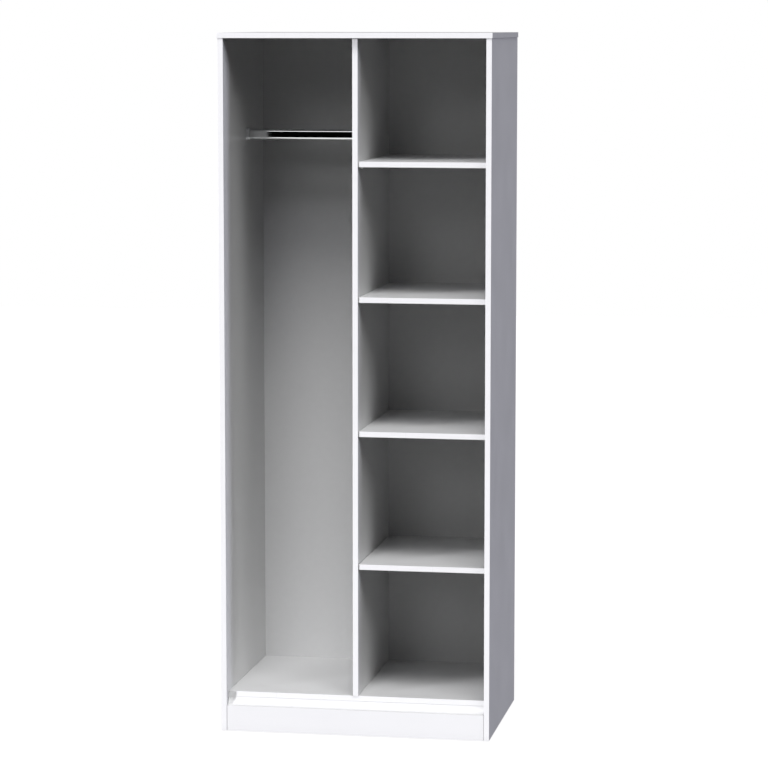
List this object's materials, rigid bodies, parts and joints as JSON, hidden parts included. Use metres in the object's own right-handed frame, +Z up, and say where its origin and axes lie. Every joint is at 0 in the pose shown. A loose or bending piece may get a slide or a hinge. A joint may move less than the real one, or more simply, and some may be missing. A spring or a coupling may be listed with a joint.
{
  "type": "open wardrobe",
  "caption": "Tall open-fronted white wardrobe with a full-height hanging bay and oval rail beside a bay of removable shelves, on a coved plinth.",
  "frame": {"origin": "middle of the footprint, on the floor that the glides stand on", "axes": "+Z up, the open front faces -Y, +X to the right as seen from the front, so the hanging bay is at -X and the shelves at +X"},
  "size_m": [0.77, 0.53, 1.97],
  "materials": {
    "white_laminate": "satin white melamine on chipboard, matching edging",
    "white_hardboard": "matt white printed face",
    "chrome": "bright chrome plate on steel tube",
    "plated_zinc": "satin plated zinc casting",
    "plated_steel": "zinc plated",
    "beech": "raw fluted beech",
    "grey_plastic": "moulded"
  },
  "bodies": {
    "carcass": {"back_panel": "white_hardboard", "base_panel": "white_laminate", "divider_panel": "white_laminate", "dowel_base_left_front": "beech", "dowel_base_left_rear": "beech", "dowel_base_right_front": "beech", "dowel_base_right_rear": "beech", "dowel_divider_foot_front": "beech", "dowel_divider_foot_rear": "beech", "dowel_plinth_front_left_lower": "beech", "dowel_plinth_front_left_upper": "beech", "dowel_plinth_front_right_lower": "beech", "dowel_plinth_front_right_upper": "beech", "dowel_plinth_rear_left_lower": "beech", "dowel_plinth_rear_left_upper": "beech", "dowel_plinth_rear_right_lower": "beech", "dowel_plinth_rear_right_upper": "beech", "dowel_top_divider_front": "beech", "dowel_top_divider_rear": "beech", "dowel_top_left_front": "beech", "dowel_top_left_rear": "beech", "dowel_top_right_front": "beech", "dowel_top_right_rear": "beech", "glide_front_left": "grey_plastic", "glide_front_right": "grey_plastic", "glide_rear_left": "grey_plastic", "glide_rear_right": "grey_plastic", "hanging_rail": "chrome", "left_side_panel": "white_laminate", "plinth_front": "white_laminate", "plinth_rear": "white_laminate", "rail_screw_left_lower": "plated_steel", "rail_screw_left_upper": "plated_steel", "rail_screw_right_lower": "plated_steel", "rail_screw_right_upper": "plated_steel", "rail_socket_left": "plated_zinc", "rail_socket_right": "plated_zinc", "right_side_panel": "white_laminate", "shelf_pin_1_front_left": "plated_steel", "shelf_pin_1_front_right": "plated_steel", "shelf_pin_1_rear_left": "plated_steel", "shelf_pin_1_rear_right": "plated_steel", "shelf_pin_2_front_left": "plated_steel", "shelf_pin_2_front_right": "plated_steel", "shelf_pin_2_rear_left": "plated_steel", "shelf_pin_2_rear_right": "plated_steel", "shelf_pin_3_front_left": "plated_steel", "shelf_pin_3_front_right": "plated_steel", "shelf_pin_3_rear_left": "plated_steel", "shelf_pin_3_rear_right": "plated_steel", "shelf_pin_4_front_left": "plated_steel", "shelf_pin_4_front_right": "plated_steel", "shelf_pin_4_rear_left": "plated_steel", "shelf_pin_4_rear_right": "plated_steel", "top_panel": "white_laminate"},
    "shelf_1": {"shelf_1": "white_laminate"},
    "shelf_2": {"shelf_2": "white_laminate"},
    "shelf_3": {"shelf_3": "white_laminate"},
    "shelf_4": {"shelf_4": "white_laminate"}
  },
  "joints": [
    {"name": "shelf_1_draw", "type": "slide", "parent": "carcass", "child": "shelf_1", "axis": [0, -1, 0], "range_m": [0, 0.525]},
    {"name": "shelf_2_draw", "type": "slide", "parent": "carcass", "child": "shelf_2", "axis": [0, -1, 0], "range_m": [0, 0.525]},
    {"name": "shelf_3_draw", "type": "slide", "parent": "carcass", "child": "shelf_3", "axis": [0, -1, 0], "range_m": [0, 0.525]},
    {"name": "shelf_4_draw", "type": "slide", "parent": "carcass", "child": "shelf_4", "axis": [0, -1, 0], "range_m": [0, 0.525]}
  ]
}
